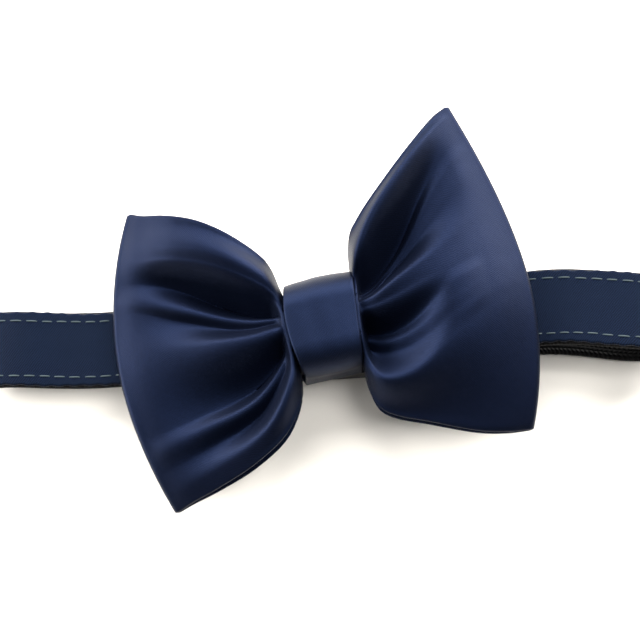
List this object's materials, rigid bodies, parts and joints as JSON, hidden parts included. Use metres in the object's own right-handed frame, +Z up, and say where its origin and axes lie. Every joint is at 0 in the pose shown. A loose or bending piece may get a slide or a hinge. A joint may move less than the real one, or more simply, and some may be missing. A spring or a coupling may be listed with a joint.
{
  "type": "pet bow tie collar",
  "caption": "Fastened webbing collar for a pet, satin covered and top-stitched, with a folded satin bow held on it by a knot band.",
  "frame": {"origin": "middle of the clasp's flat underside, on the surface that the collar lies on, below the knot", "axes": "+X along the flattened collar, +Z up out of the surface through the knot, +Y across the collar towards the bow's taller corner"},
  "size_m": [0.1974, 0.1053, 0.0314],
  "materials": {
    "black_webbing": "woven",
    "ribbon_satin": "satin",
    "navy_satin": "satin",
    "black_plastic": "matte"
  },
  "bodies": {
    "root": {"collar_webbing": "black_webbing", "collar_ribbon": "ribbon_satin", "clasp": "black_plastic", "bow": "navy_satin", "knot_band": "navy_satin"}
  },
  "joints": []
}
